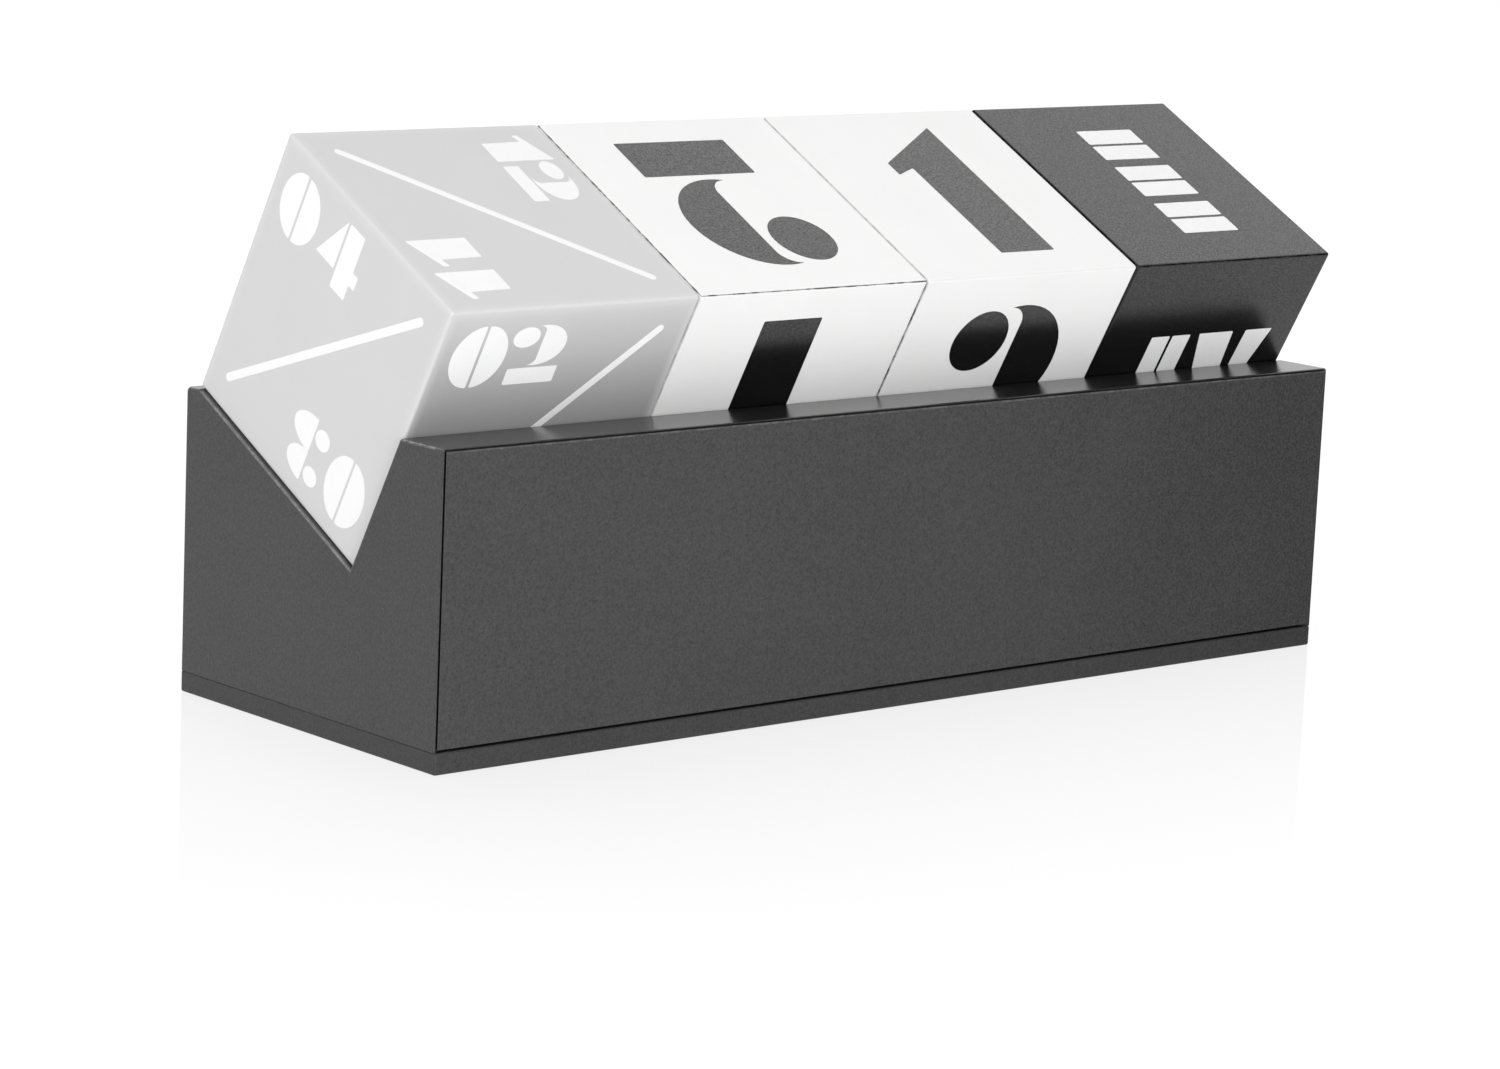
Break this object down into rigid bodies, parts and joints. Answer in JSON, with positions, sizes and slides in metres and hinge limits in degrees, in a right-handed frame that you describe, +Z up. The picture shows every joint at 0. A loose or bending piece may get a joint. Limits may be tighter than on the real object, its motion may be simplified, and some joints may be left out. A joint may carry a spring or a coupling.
{
  "type": "desk calendar with drawer",
  "caption": "Perpetual desk calendar: cubes lie in a leaning V groove on a long black box, which has a drawer behind its front panel.",
  "frame": {"origin": "centre of the base plate's underside, on the surface that the calendar stands on", "axes": "+X along the groove, from the month cube to the weekday cube; -Y the side that the drawer slides out of; +Z up"},
  "size_m": [0.2024, 0.0706, 0.0962],
  "materials": {
    "black_lacquer": "matt black lacquer with a fine grain on wood fibre board",
    "grey_plastic": "satin light grey",
    "white_plastic": "satin white",
    "black_plastic": "satin black",
    "steel": "plain steel"
  },
  "bodies": {
    "holder": {"base_plate": "black_lacquer", "left_end_panel": "black_lacquer", "right_end_panel": "black_lacquer", "rear_panel": "black_lacquer", "top_rail": "black_lacquer", "front_flank": "black_lacquer", "rear_flank": "black_lacquer", "left_drawer_guide": "black_lacquer", "right_drawer_guide": "black_lacquer", "stop_rail": "black_lacquer"},
    "drawer": {"drawer_front": "black_lacquer", "drawer_inner_front": "black_lacquer", "drawer_left_side": "black_lacquer", "drawer_right_side": "black_lacquer", "drawer_back": "black_lacquer", "drawer_bottom": "black_lacquer", "drawer_stop_pins": "steel", "drawer_front_screws": "steel"},
    "month_cube": {"month_cube_shell": "grey_plastic", "month_cube_lid": "grey_plastic"},
    "tens_cube": {"tens_cube_shell": "white_plastic", "tens_cube_lid": "white_plastic"},
    "units_cube": {"units_cube_shell": "white_plastic", "units_cube_lid": "white_plastic"},
    "weekday_cube": {"weekday_cube_shell": "black_plastic", "weekday_cube_lid": "black_plastic"}
  },
  "joints": [
    {"name": "drawer_slide", "type": "slide", "parent": "holder", "child": "drawer", "axis": [0, -1, 0], "range_m": [0, 0.0491]},
    {"name": "month_cube_lift", "type": "slide", "parent": "holder", "child": "month_cube", "axis": [0, 0, 1], "range_m": [0, 0.06]},
    {"name": "tens_cube_lift", "type": "slide", "parent": "holder", "child": "tens_cube", "axis": [0, 0, 1], "range_m": [0, 0.06]},
    {"name": "units_cube_lift", "type": "slide", "parent": "holder", "child": "units_cube", "axis": [0, 0, 1], "range_m": [0, 0.06]},
    {"name": "weekday_cube_lift", "type": "slide", "parent": "holder", "child": "weekday_cube", "axis": [0, 0, 1], "range_m": [0, 0.06]}
  ]
}
